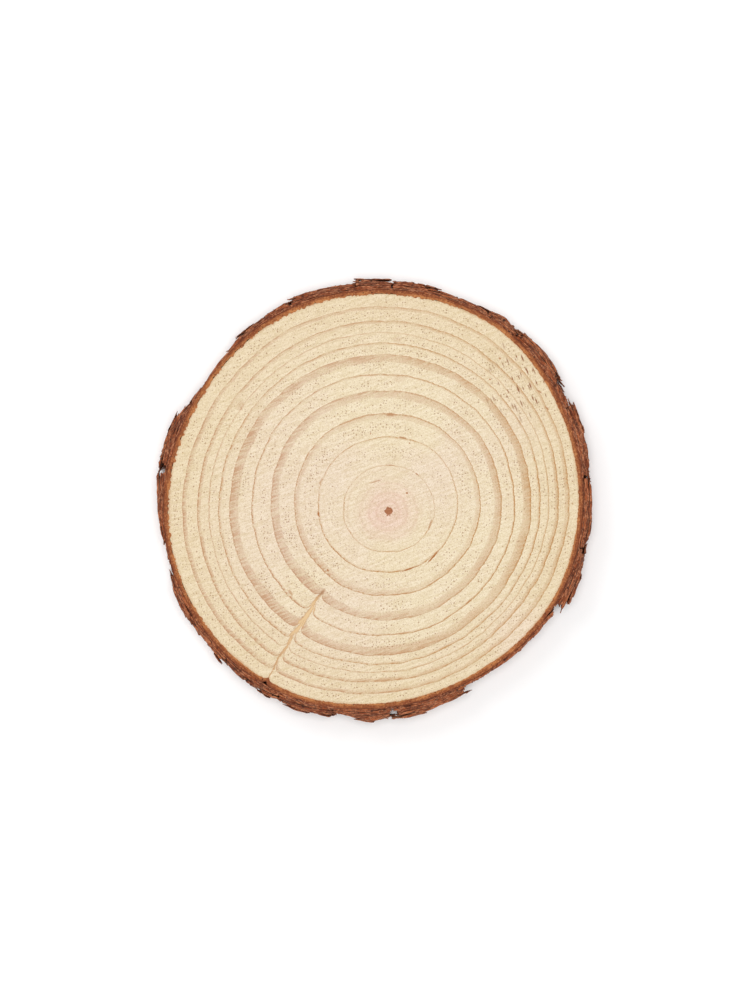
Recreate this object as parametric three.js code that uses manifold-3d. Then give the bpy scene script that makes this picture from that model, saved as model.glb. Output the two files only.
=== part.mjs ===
// A sawn slice of a pine stem with its bark on.
//
// The stem grew as one piece, wood and bark together, so the slice is one solid.
// It is made the way the real one is: a stem, the plates of bark grown fast to it,
// and two saw cuts across the lot. Millimetres, +Z up. The slice lies on its underside
// and the origin is the middle of its bounding box, down on that underside.

import * as THREE from 'three';
import { mergeVertices } from 'three/addons/utils/BufferGeometryUtils.js';
import Module from 'manifold-3d';

const wasm = await Module();
wasm.setup();

// ---------------------------------------------------------------- driving dimensions

// Distance between the two saw cuts.
const THICKNESS = 15;

// The pith, where the tree began to grow, is a little off the middle of the slice.
const PITH = new THREE.Vector2(4.76, -4.0);

// Radius of the wood about the pith every 30 degrees, anticlockwise from +X.
const WOOD_RADII = [66.5, 69.6, 74.6, 76.1, 77.6, 76.8, 77.3, 75.6, 72.2, 67.0, 64.2, 65.2];

// The smooth living bark that covers the wood all round.
const INNER_BARK = 1.5;

// How far a plate is sunk into the stem, and how far the uncut stem runs past each face.
const PLATE_ROOT = 2.5;
const SPARE_LENGTH = 3;

// Spacing of the points round the stem and along a plate, in degrees.
const STEM_STEP = 3;
const PLATE_STEP = 2.5;

// Rows of points up a plate, which let it bulge, and how far it bulges midway up.
const PLATE_ROWS = 4;
const PLATE_BULGE = 0.35;

// The plates don't run straight up the stem: between the two cuts their edges swing round it
// by up to this many degrees, one way and the other.
const GRAIN_SWING = 2.2;

// Outer bark, plate by plate. A plate starts at `from` and stops at `to`, in degrees about
// the pith, and `proud` is how far it stands out from the wood at even steps along its
// length. Plates that touch overlap a little, and the others leave a notch between them.
const PLATES = [
  { from: -10.8, to: 10.0, proud: [4.4, 5.3, 4.9, 4.2] },
  { from: 10.4, to: 30.6, proud: [4.3, 5.3, 5.3, 4.9] },
  { from: 30.2, to: 37.4, proud: [3.8, 3.8] },
  { from: 37.0, to: 53.7, proud: [5.2, 5.7, 5.4, 4.6] },
  { from: 54.2, to: 63.2, proud: [3.4, 4.7, 3.7] },
  { from: 62.8, to: 80.2, proud: [3.0, 3.3, 3.5] },
  { from: 79.8, to: 89.0, proud: [4.1, 4.8, 4.5] },
  { from: 89.5, to: 98.8, proud: [4.0, 5.0, 5.3] },
  { from: 98.4, to: 114.9, proud: [4.0, 4.4, 4.6] },
  { from: 115.5, to: 135.6, proud: [4.0, 3.5, 3.2, 2.1] },
  { from: 150.6, to: 168.7, proud: [2.3, 4.8, 5.2, 4.8] },
  { from: 169.7, to: 188.2, proud: [4.8, 3.9, 3.3, 2.3] },
  { from: 198.2, to: 209.6, proud: [3.5, 4.3, 4.1] },
  { from: 209.2, to: 222.6, proud: [3.7, 3.6, 3.9] },
  { from: 222.2, to: 238.3, proud: [3.2, 4.1, 4.2] },
  { from: 238.9, to: 254.2, proud: [4.3, 5.0, 4.2] },
  { from: 253.8, to: 271.0, proud: [3.0, 4.4, 5.9, 4.9] },
  { from: 271.6, to: 294.2, proud: [5.9, 5.8, 5.0, 4.6] },
  { from: 293.8, to: 326.8, proud: [2.3, 2.6, 2.9, 2.9] },
  { from: 331.0, to: 348.7, proud: [5.8, 5.4, 4.6] },
];

// ---------------------------------------------------------------- shared shape rules

// Takes a smooth value from a list that goes once round the stem.
function aroundStem(values, degrees) {
  const turns = THREE.MathUtils.euclideanModulo(degrees, 360) / 360;
  const place = turns * values.length;
  const i = Math.floor(place);
  const at = (k) => values[THREE.MathUtils.euclideanModulo(k, values.length)];
  const spline = new THREE.SplineCurve([-1, 0, 1, 2].map((k) => new THREE.Vector2(k, at(i + k))));
  return spline.getPoint((1 + place - i) / 3).y;
}

// Takes a value from a short list spread evenly from 0 to 1.
function alongList(values, t) {
  const place = THREE.MathUtils.clamp(t, 0, 1) * (values.length - 1);
  const i = Math.min(Math.floor(place), values.length - 2);
  return THREE.MathUtils.lerp(values[i], values[i + 1], place - i);
}

// A point of the slice from its angle and radius about the pith, and its height.
function stemPoint(degrees, radius, z) {
  const angle = THREE.MathUtils.degToRad(degrees);
  return new THREE.Vector3(
    PITH.x + radius * Math.cos(angle),
    PITH.y + radius * Math.sin(angle),
    z,
  );
}

// Merges a geometry's doubled corners, then moves every point by the given rule.
function reshape(geometry, rule) {
  geometry.deleteAttribute('normal');
  geometry.deleteAttribute('uv');
  const merged = mergeVertices(geometry);
  const points = merged.getAttribute('position');
  const point = new THREE.Vector3();
  for (let i = 0; i < points.count; i += 1) {
    point.fromBufferAttribute(points, i);
    const moved = rule(point);
    points.setXYZ(i, moved.x, moved.y, moved.z);
  }
  return merged;
}

// ---------------------------------------------------------------- solids

function toSolid(geometry) {
  return new wasm.Manifold(new wasm.Mesh({
    numProp: 3,
    vertProperties: new Float32Array(geometry.getAttribute('position').array),
    triVerts: new Uint32Array(geometry.getIndex().array),
  }));
}

function toGeometry(solid) {
  const mesh = solid.getMesh();
  const geometry = new THREE.BufferGeometry();
  geometry.setAttribute('position', new THREE.BufferAttribute(mesh.vertProperties, 3));
  geometry.setIndex(new THREE.BufferAttribute(mesh.triVerts, 1));
  return geometry;
}

// The uncut stem: the wood and the inner bark, straight up through both saw cuts.
function stemGeometry() {
  const length = THICKNESS + 2 * SPARE_LENGTH;
  const unit = new THREE.CylinderGeometry(1, 1, length, 360 / STEM_STEP, 1);
  unit.rotateX(Math.PI / 2);
  return reshape(unit, (p) => {
    const degrees = THREE.MathUtils.radToDeg(Math.atan2(p.y, p.x));
    const radius = Math.hypot(p.x, p.y) * (aroundStem(WOOD_RADII, degrees) + INNER_BARK);
    return stemPoint(degrees, radius, p.z + THICKNESS / 2);
  });
}

// One plate of bark: a slab wrapped onto the stem, following the grain and thickest midway up.
function plateGeometry({ from, to, proud }) {
  const length = THICKNESS + 2 * SPARE_LENGTH;
  const columns = Math.max(2, Math.round((to - from) / PLATE_STEP));
  const unit = new THREE.BoxGeometry(1, 1, length, 1, columns, PLATE_ROWS);
  return reshape(unit, (p) => {
    const along = p.y + 0.5;
    const outside = p.x > 0;
    const offMiddle = p.z / THICKNESS;
    const upright = THREE.MathUtils.lerp(from, to, along);
    const swing = GRAIN_SWING * Math.sin(THREE.MathUtils.degToRad(4 * upright));
    const degrees = upright + swing * (offMiddle - 0.5);
    const stand = alongList(proud, along) + PLATE_BULGE * (1 - 4 * offMiddle ** 2);
    const reach = outside ? stand : INNER_BARK - PLATE_ROOT;
    return stemPoint(degrees, aroundStem(WOOD_RADII, degrees) + reach, p.z + THICKNESS / 2);
  });
}

// Everything between the two saw cuts.
function betweenCutsGeometry() {
  const width = 3 * Math.max(...WOOD_RADII);
  const slab = new THREE.BoxGeometry(width, width, THICKNESS);
  slab.translate(0, 0, THICKNESS / 2);
  return reshape(slab, (p) => p.clone());
}

function sliceGeometry() {
  let stem = toSolid(stemGeometry());
  for (const plate of PLATES) {
    stem = stem.add(toSolid(plateGeometry(plate)));
  }
  return toGeometry(stem.intersect(toSolid(betweenCutsGeometry())));
}

// ---------------------------------------------------------------- the part

const sawnPine = new THREE.MeshStandardMaterial({
  name: 'sawn_pine',
  color: 0xecdcb8,
  roughness: 0.75,
  metalness: 0,
});

const woodSlice = new THREE.Mesh(sliceGeometry(), sawnPine);
woodSlice.name = 'wood_slice';

const part = new THREE.Group();
part.name = 'pine_slice';
part.add(woodSlice);

export default part;
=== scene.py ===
# %% [markdown]
# # A sawn slice of pine, bark and all
#
# The slice lies flat on a pale table. Two things are made here: the sawn wood, with its
# growth rings, and the bark round it, which comes in three parts: the living inner bark,
# the stacked plates of dead outer bark, and the small papery scales that cling to them.
#
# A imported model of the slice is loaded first. It is a plain solid of the right size, and
# everything below is built in its frame: metres, +Z up, the origin under the middle.

# %% Load the frame
import math

import bpy
import bmesh
import numpy as np
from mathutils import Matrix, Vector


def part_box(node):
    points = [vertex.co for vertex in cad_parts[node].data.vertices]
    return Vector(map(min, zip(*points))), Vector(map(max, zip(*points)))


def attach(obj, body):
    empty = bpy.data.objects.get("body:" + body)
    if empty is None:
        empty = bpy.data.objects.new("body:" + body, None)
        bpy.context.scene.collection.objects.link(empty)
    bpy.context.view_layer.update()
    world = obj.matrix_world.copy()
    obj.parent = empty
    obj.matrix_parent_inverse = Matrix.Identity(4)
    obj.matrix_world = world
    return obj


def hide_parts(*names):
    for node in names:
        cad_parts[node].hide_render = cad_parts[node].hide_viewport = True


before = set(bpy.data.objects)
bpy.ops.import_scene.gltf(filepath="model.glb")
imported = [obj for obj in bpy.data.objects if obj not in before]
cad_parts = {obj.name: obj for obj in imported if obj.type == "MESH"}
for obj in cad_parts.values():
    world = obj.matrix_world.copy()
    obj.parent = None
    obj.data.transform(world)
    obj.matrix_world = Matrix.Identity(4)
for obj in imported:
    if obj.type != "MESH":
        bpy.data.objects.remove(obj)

MM = 0.001
TURN = 2 * math.pi

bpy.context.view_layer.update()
slice_low, slice_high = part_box("wood_slice")
THICKNESS = (slice_high[2] - slice_low[2]) / MM
print("slice is", round(THICKNESS, 2), "mm thick, nodes:", list(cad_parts))

# %% [markdown]
# ## The table, the light and the camera
#
# The slice is looked at from straight above, so the camera hangs over the origin on a long
# lens, which keeps the sides of the slice out of sight. A long lens far away flattens a
# subject, and that is what a catalogue picture of a flat thing wants. The light is soft and
# nearly even. Most of it comes from straight above, out of a wide patch of sky, so that the
# shadow falls under the slice and not beside it. A white world fills in all round, and a
# lamp on the upper left is just strong enough to model the flakes of bark. The plain
# "Standard" view keeps the colours as mixed.


# %% Camera
def add_object(name, data):
    """A new object at the origin, put in the scene."""
    made = bpy.data.objects.new(name, data)
    bpy.context.scene.collection.objects.link(made)
    return made


FRAME_HEIGHT = 350.0
LENS, SENSOR = 120.0, 36.0

camera_data = bpy.data.cameras.new("camera")
camera_data.lens = LENS
camera_data.sensor_width = SENSOR
camera_data.clip_end = 20.0
camera = add_object("camera", camera_data)
camera_distance = FRAME_HEIGHT * LENS / SENSOR
camera.location = (0.0, 0.0, (THICKNESS + camera_distance) * MM)
bpy.context.scene.camera = camera
print("camera hangs", round(camera_distance), "mm over the sawn face")

# %% World and lamps
WORLD_STRENGTH = 0.34
SKY_STRENGTH, SKY_WIDTH = 2.02, math.radians(30)
KEY_PLACE, KEY_SIZE, KEY_POWER = (-0.7, 0.8, 1.3), 0.8, 5.0

bpy.context.scene.view_settings.view_transform = "Standard"

world = bpy.data.worlds.new("studio")
world.use_nodes = True
background = world.node_tree.nodes["Background"].inputs
background["Color"].default_value = (1.0, 1.0, 1.0, 1.0)
background["Strength"].default_value = WORLD_STRENGTH
bpy.context.scene.world = world

sky_data = bpy.data.lights.new("overhead", "SUN")
sky_data.energy = SKY_STRENGTH
sky_data.angle = SKY_WIDTH
add_object("overhead", sky_data)

key_data = bpy.data.lights.new("key", "AREA")
key_data.size = KEY_SIZE
key_data.energy = KEY_POWER
key = add_object("key", key_data)
key.location = KEY_PLACE
key.rotation_euler = (-key.location).to_track_quat("-Z", "Y").to_euler()
print("lamps: overhead and key")

# %% [markdown]
# ## Small helpers for making meshes
#
# Every piece below is a grid of points bent into shape, so a few helpers are enough: two
# that number the faces of a grid and of a closed band, and one that turns points and faces
# into an object. It also stores numbers at the points, for the material to read. Storing
# numbers on the mesh is the way to make a pattern follow a surface: the growth rings follow
# the wood because each point knows which ring it lies in.


# %% Mesh helpers
def grid_faces(rows, columns, start=0, wrap=False):
    """The faces of a grid of points counted row by row; a wrapped grid closes on itself."""
    i = np.arange(rows - 1)[:, None] * columns
    j = np.arange(columns if wrap else columns - 1)[None, :]
    a = start + i + j
    b = start + i + (j + 1) % columns
    return np.stack([a, b, b + columns, a + columns], axis=-1).reshape(-1, 4)


def band_faces(first, second, columns):
    """The faces between two closed rows, given the number of the first point of each."""
    j = np.arange(columns)
    k = (j + 1) % columns
    return np.stack([first + j, first + k, second + k, second + j], axis=-1)


def new_piece(name, points_mm, faces, numbers):
    """A closed mesh object at the origin. `numbers` are stored at its points by name."""
    mesh = bpy.data.meshes.new(name)
    mesh.from_pydata((points_mm * MM).tolist(), [], [list(face) for face in faces])
    for key, values in numbers.items():
        kind, field = ("FLOAT_VECTOR", "vector") if values.ndim == 2 else ("FLOAT", "value")
        mesh.attributes.new(key, kind, "POINT").data.foreach_set(field, values.ravel())
    work = bmesh.new()
    work.from_mesh(mesh)
    bmesh.ops.recalc_face_normals(work, faces=work.faces)
    work.to_mesh(mesh)
    work.free()
    mesh.shade_smooth()
    print(name, "has", len(mesh.polygons), "faces")
    return add_object(name, mesh)


# %% Smooth noise
def lattice(ix, iy, iz, seed):
    """The same random number from 0 to 1 each time, for each whole-numbered point."""
    h = (ix * 374761393 + iy * 668265263 + iz * 362437 + seed * 1274126177) & 0xFFFFFFFF
    h = ((h ^ (h >> 13)) * 1274126177) & 0xFFFFFFFF
    return ((h ^ (h >> 16)) & 0xFFFFFF) / 0xFFFFFF


def noise(x, y, z, seed=0):
    """Smooth noise from -1 to 1, with lumps about one unit long."""
    spot = np.broadcast_arrays(x, y, z)
    whole = [np.floor(v).astype(np.int64) for v in spot]
    parts = [v - w for v, w in zip(spot, whole)]
    ease = [f * f * f * (f * (6 * f - 15) + 10) for f in parts]
    total = np.zeros(spot[0].shape)
    for corner in np.ndindex(2, 2, 2):
        weight = np.ones(total.shape)
        for step, part in zip(corner, ease):
            weight = weight * (part if step else 1 - part)
        total += weight * lattice(*(w + step for w, step in zip(whole, corner)), seed)
    return 2 * total - 1


def ease_between(low, high, value):
    """0 below low, 1 above high, and a smooth step between them."""
    t = np.clip((value - low) / (high - low), 0.0, 1.0)
    return t * t * (3 - 2 * t)

# %% [markdown]
# ## How the tree grew
#
# The pith, the first shoot, sits a little off the middle. Round it the tree laid down a
# ring a year, eleven in all, wider towards the upper left, where it had the better side.
# The first rings are nearly round and the last ones take the shape of the stem.
#
# A ring is a closed curve given by its radius in a few directions, with a smooth curve
# through them. Five rings and the edge of the wood are given that way, and the other rings
# lie a fixed part of the way from one of those to the next. One number, `growth`, then says
# where a point lies: 3.0 is the outer edge of the third year's ring and 3.5 is halfway
# through the fourth.

# %% Growth plan
PITH_X, PITH_Y = 4.76, -4.0

# Radius of the wood every 30 degrees, anticlockwise from +X, in millimetres.
WOOD_RADII = [66.5, 69.6, 74.6, 76.1, 77.6, 76.8, 77.3, 75.6, 72.2, 67.0, 64.2, 65.2]

# Radius of some of the rings every 45 degrees.
KEY_RINGS = {
    0: [0.0] * 8,
    1: [16.1, 16.3, 16.3, 16.2, 16.1, 15.2, 14.5, 15.0],
    2: [24.2, 26.2, 26.4, 26.4, 24.7, 23.2, 21.4, 22.2],
    4: [39.6, 41.6, 42.4, 43.6, 41.3, 39.3, 38.1, 37.8],
    6: [49.9, 52.8, 55.0, 56.2, 55.7, 53.2, 50.4, 48.1],
    9: [59.5, 63.4, 66.9, 66.9, 66.9, 65.2, 59.5, 56.6],
}

# The other rings: the ring inside, the ring outside, and how far between the two.
BETWEEN_RINGS = {
    3: (2, 4, 0.5),
    5: (4, 6, 0.455),
    7: (6, 9, 0.34),
    8: (6, 9, 0.65),
    10: (9, 11, 0.52),
}
LAST_RING = 11
print(LAST_RING, "rings")


# %% Ring curves
def around(values, angle):
    """A smooth closed curve through values spaced evenly round the stem."""
    values = np.asarray(values)
    place = (angle / TURN) % 1.0 * len(values)
    i = np.floor(place).astype(int)
    t = place - i
    before, here, after, beyond = (values[(i + k) % len(values)] for k in (-1, 0, 1, 2))
    bend = (2 * before - 5 * here + 4 * after - beyond) * t
    bend = bend + (3 * here - before - 3 * after + beyond) * t * t
    return here + 0.5 * t * (after - before + bend)


def ring_radius(ring, angle):
    if ring == LAST_RING:
        return around(WOOD_RADII, angle)
    if ring in KEY_RINGS:
        return around(KEY_RINGS[ring], angle)
    inside, outside, share = BETWEEN_RINGS[ring]
    return (1 - share) * ring_radius(inside, angle) + share * ring_radius(outside, angle)


def growth_radius(growth, angle):
    """The radius at which a point of this growth lies in this direction."""
    ring = min(int(growth), LAST_RING - 1)
    inner, outer = ring_radius(ring, angle), ring_radius(ring + 1, angle)
    return inner + (outer - inner) * (growth - ring)


def place_on_stem(angle, radius, height):
    """Points from their angle and radius about the pith and their height, in one list."""
    x = PITH_X + radius * np.cos(angle)
    y = PITH_Y + radius * np.sin(angle)
    return np.stack(np.broadcast_arrays(x, y, height), axis=-1).reshape(-1, 3)


to_the_right = float(ring_radius(LAST_RING, 0.0))
print("wood is", round(to_the_right, 1), "mm from pith to bark on the right")

# %% [markdown]
# ## The healed scar
#
# On the lower left a small side shoot died young and the tree grew over it. It left a thin
# seam from the fourth ring out to the bark, and each later ring dips towards the pith where
# it meets the seam. So the radius of a ring is its own less a `dip`, which is deepest on the
# seam and gone two millimetres off it. The grid of the face has to be much finer there than
# elsewhere, so the columns of points crowd together round the seam and follow it.

# %% Scar
# Where the seam starts, its direction there in degrees, and how it veers per millimetre.
SCAR_START, SCAR_ANGLE, SCAR_DRIFT = 35.0, 230.4, 0.10
SCAR_MIDDLE = math.radians(232.2)
DIP_DEPTH, DIP_WIDTH = 6.8, 0.78

# Degrees between the face's columns, how much closer they come, and over how many degrees.
COLUMN_STEP, COLUMN_CROWDING, CROWDED_WIDTH = 0.95, 0.82, 3.0


def scar_angle(radius):
    return np.radians(SCAR_ANGLE + SCAR_DRIFT * (radius - SCAR_START))


def ring_dip(angle, radius):
    side = np.abs(angle - scar_angle(radius)) * radius
    depth = DIP_DEPTH * ease_between(SCAR_START - 2, SCAR_START + 11, radius)
    depth = depth * (1 - 0.45 * ease_between(47, 59, radius))
    depth = depth * (1 - 0.7 * ease_between(64, 75, radius))
    return depth * np.exp(-side / DIP_WIDTH)


def column_angles():
    """Directions of the face's columns: about a degree apart, and far closer at the scar."""
    angles, angle = [], 0.0
    while angle < TURN - math.radians(0.5):
        angles.append(angle)
        off = math.degrees(angle - SCAR_MIDDLE)
        crowding = COLUMN_CROWDING * math.exp(-((off / CROWDED_WIDTH) ** 2))
        angle += math.radians(COLUMN_STEP - crowding)
    return np.array(angles)


face_columns = column_angles()
print(len(face_columns), "columns across the sawn face")

# %% [markdown]
# ## The sawn wood
#
# The disc is a spider's web of points: columns run out from the pith and rows follow the
# rings, eight to a ring, so a ring's edge is an edge of the mesh and stays crisp. Sanding
# wears the soft pale wood of spring more than the hard dark wood of summer, which leaves
# each ring standing up a few hundredths of a millimetre; the rows carry that relief. The
# pith is a small dimple and the scar a shallow groove. The underside is the same web again.

# %% Summer wood
# Of each ring, from the first: how wide its dark summer wood is, in millimetres, how dark
# the band is, how dark the line at its outer edge is, and how warm its colour is.
SUMMER_WIDTH = [0.5, 0.8, 2.0, 2.9, 0.8, 3.1, 0.9, 0.5, 1.2, 1.4, 0.8]
SUMMER_DEPTH = [0.15, 0.22, 0.38, 0.54, 0.34, 0.62, 0.42, 0.22, 0.56, 0.50, 0.15]
SUMMER_LINE = [0.44, 0.66, 0.72, 0.57, 0.80, 0.44, 0.54, 0.42, 0.44, 0.42, 0.20]
SUMMER_WARMTH = [0.85, 0.80, 0.50, 0.25, 0.50, 0.35, 0.65, 0.45, 0.50, 0.40, 0.60]

# The tree leaned a little, so the summer wood is darker and wider on some sides than on
# others: how dark and how wide it is every 45 degrees, anticlockwise from +X.
SIDE_STRENGTH = [0.94, 0.84, 0.78, 0.82, 1.00, 1.06, 0.88, 0.80]
SIDE_REACH = [0.78, 0.72, 0.70, 0.85, 1.05, 1.08, 0.88, 0.78]

print("widest band of summer wood is", max(SUMMER_WIDTH), "mm")

# %% Relief of the face
# Millimetres: how far the face lies under the saw's plane, and the sizes of its relief.
FACE_INSET = 0.05
RIDGE_HEIGHT, WAVE_HEIGHT, WAVE_LENGTH = 0.07, 0.05, 22
DIMPLE_DEPTH, GROOVE_DEPTH, GROOVE_WIDTH = 0.18, 0.15, 0.4
PITH_RADIUS = 1.35


def ring_of(growth):
    """The ring that a row lies in. A row on a ring's outer edge belongs to that ring."""
    return min(int(growth - 1e-6), LAST_RING - 1)


def wood_relief(growth, angle, radius):
    """How far the face lies below its highest points, in millimetres."""
    ring = ring_of(growth)
    ridge = ease_between(1 - SUMMER_WIDTH[ring] / 6, 1.0, growth - ring)
    ridge = ridge * 2 * SUMMER_DEPTH[ring]
    x, y = radius * np.cos(angle) / WAVE_LENGTH, radius * np.sin(angle) / WAVE_LENGTH
    waves = 0.5 + 0.5 * noise(x, y, 0.0, 3)
    dimple = 1 - ease_between(0.6 * PITH_RADIUS, 1.2 * PITH_RADIUS, radius)
    side = np.abs(angle - scar_angle(radius)) * radius
    groove = GROOVE_DEPTH * np.exp(-((side / GROOVE_WIDTH) ** 2))
    groove = groove * ease_between(SCAR_START, SCAR_START + 3, radius)
    return RIDGE_HEIGHT * (1 - ridge) + WAVE_HEIGHT * waves + DIMPLE_DEPTH * dimple + groove


# %% Wood disc
ROWS_IN_RING = (0.05, 0.2, 0.4, 0.6, 0.75, 0.88, 0.96, 1.0)
PITH_ROWS = (0.02, 0.045, 0.07, 0.09, 0.12, 0.16)


def face_rows():
    rows = {ring + part for ring in range(LAST_RING) for part in ROWS_IN_RING}
    return sorted(rows | set(PITH_ROWS))


def wood_face():
    """One sawn face as arrays of angle, radius, growth, ring width and relief, by rows."""
    layers = []
    for growth in face_rows():
        plain = growth_radius(growth, face_columns)
        follow = np.exp(-((face_columns - SCAR_MIDDLE) / math.radians(9)) ** 2)
        angle = face_columns + follow * (scar_angle(plain) - SCAR_MIDDLE)
        plain = growth_radius(growth, angle)
        radius = plain - ring_dip(angle, plain)
        ring = ring_of(growth)
        width = ring_radius(ring + 1, angle) - ring_radius(ring, angle)
        relief = wood_relief(growth, angle, radius)
        layers.append((angle, radius, np.full_like(angle, growth), width, relief))
    return [np.array(part) for part in zip(*layers)]


def make_sawn_wood():
    angle, radius, growth, width, relief = wood_face()
    rows, columns = angle.shape
    count = rows * columns
    outer = (rows - 1) * columns
    top = place_on_stem(angle, radius, THICKNESS - FACE_INSET - relief)
    bottom = place_on_stem(angle, radius, FACE_INSET + relief)
    middles = np.array([[PITH_X, PITH_Y, THICKNESS - 0.3], [PITH_X, PITH_Y, 0.3]])
    faces = [*grid_faces(rows, columns, 0, True), *grid_faces(rows, columns, count, True)]
    faces += [*band_faces(outer, count + outer, columns)]
    for face in (0, 1):
        start, middle = face * count, 2 * count + face
        faces += [(middle, start + j, start + (j + 1) % columns) for j in range(columns)]

    def both_faces(values, at_middle):
        return np.append(np.tile(values.ravel(), 2), [at_middle, at_middle])

    return new_piece("sawn_wood", np.concatenate([top, bottom, middles]), faces, {
        "growth": both_faces(growth, 0.0),
        "ring_width": both_faces(width, 16.0),
        "scar_side": both_faces((angle - scar_angle(radius)) * radius, 50.0),
        "from_pith": both_faces(radius, 0.0),
        "side_strength": both_faces(around(SIDE_STRENGTH, angle), 1.0),
        "side_reach": both_faces(around(SIDE_REACH, angle), 1.0),
    })


sawn_wood = make_sawn_wood()

# %% [markdown]
# ## Inner bark
#
# Right against the wood lies the living bark, a soft orange-brown band a millimetre and a
# half thick all round the stem. It is a closed ring: a cut face on top, the stem's side, a
# cut face below, and a hidden wall where it meets the wood. The saw came through from right
# to left, so on the left the blade tore the edge into small teeth as it left the wood. The
# teeth are in the mesh, at four points to the degree, because an edge between two pieces is
# a shape and can't be painted.

# %% Inner bark
INNER_BARK = 1.55
CRUMB_HEIGHT, BUMP_HEIGHT, FLAKE_HEIGHT = 0.10, 0.16, 0.22

# The direction of the saw marks, the side where the blade came out, and its teeth's depth.
SAW_ANGLE, EXIT_ANGLE = math.radians(20), math.radians(140)
TOOTH_DEPTH = 0.54

BARK_COLUMNS, SIDE_ROWS = 1440, 24
DRUM_RADIUS = 70
bark_angles = np.arange(BARK_COLUMNS) * TURN / BARK_COLUMNS


def stem_noise(angle, radius, height, lump, seed, stretch=1.0):
    """Noise on the side of the stem, in lumps of so many millimetres, taller by stretch."""
    x, y = radius * np.cos(angle) / lump, radius * np.sin(angle) / lump
    return noise(x, y, height / (lump * stretch), seed)


def torn_edge(angle, radius):
    """How far the teeth of the torn edge reach, in millimetres."""
    saw_teeth = stem_noise(angle, radius, 0.0, 0.6, 11)
    saw_teeth = saw_teeth + 0.5 * stem_noise(angle, radius, 0.0, 1.7, 12)
    exit_side = 0.32 + 0.68 * ease_between(0.0, 0.8, np.cos(angle - EXIT_ANGLE))
    return TOOTH_DEPTH * exit_side * saw_teeth


def bark_grain(angle, across, height):
    """Where a point lies in the bark, as if on a drum, so that patterns close on themselves.

    Steps across the bark count twentyfold, to keep its thin layers apart.
    """
    x, y = DRUM_RADIUS * np.cos(angle), DRUM_RADIUS * np.sin(angle)
    return np.stack(np.broadcast_arrays(x, y, 20 * across + height), axis=-1).reshape(-1, 3)


def make_inner_bark():
    wood = ring_radius(LAST_RING, bark_angles)
    wood = wood - ring_dip(bark_angles, wood)
    edge = wood + torn_edge(bark_angles, wood) - 0.12
    outside = wood + INNER_BARK + 0.35 * stem_noise(bark_angles, wood, 0.0, 5.0, 21)
    radii, heights = [], []

    def cut_face(height, sign, shares):
        """Rows across a cut face, a little crumbly between its two edges."""
        for share in shares:
            radius = edge + (outside - edge) * share
            crumbs = 0.5 + 0.5 * stem_noise(bark_angles, radius, height, 0.7, 22)
            crumbs = CRUMB_HEIGHT * crumbs * min(1.0, 4 * share * (1 - share) + 0.3)
            radii.append(radius)
            heights.append(height - sign * crumbs)

    cut_face(THICKNESS, 1, (0.0, 0.12, 0.26, 0.42, 0.58, 0.74, 0.88, 1.0))
    for height in np.linspace(THICKNESS - 0.45, 0.45, SIDE_ROWS):
        bumps = stem_noise(bark_angles, wood, height, 1.6, 23, 2.5)
        flakes = np.round(1.5 * stem_noise(bark_angles, wood, height, 4.0, 24, 1.6))
        radii.append(wood + INNER_BARK + BUMP_HEIGHT * bumps + FLAKE_HEIGHT * flakes)
        heights.append(np.full_like(wood, height))
    cut_face(0.0, -1, (1.0, 0.82, 0.6, 0.4, 0.2, 0.0))
    radii, heights = np.array(radii), np.array(heights)
    angles = np.broadcast_to(bark_angles, radii.shape)
    faces = grid_faces(len(radii), BARK_COLUMNS, 0, True)
    wall = band_faces((len(radii) - 1) * BARK_COLUMNS, 0, BARK_COLUMNS)
    across = radii - wood
    return new_piece("inner_bark", place_on_stem(angles, radii, heights), [*faces, *wall], {
        "across": across.ravel(),
        "grain": bark_grain(angles, across, heights),
    })


inner_bark = make_inner_bark()

# %% [markdown]
# ## Plates of outer bark
#
# Outside the living bark a pine keeps its old bark in plates, and each plate is a stack of
# thin sheets like the pages of a book left in the rain: they part at the ends, curl, and
# break off at different lengths. So a plate is not one lump here. It is listed by where it
# starts and stops round the stem, how far it stands off the wood along its length and how
# much each end has lifted, and a loop then lays down its sheets one on another, each a
# little shorter than the last. Where a plate has dropped off, the list has a gap.
#
# A sheet is a slab of two grids, its outside and its inside, joined along their edges. Its
# ends are ragged, it thins towards them, and its face has the grooves of dry bark.

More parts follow.
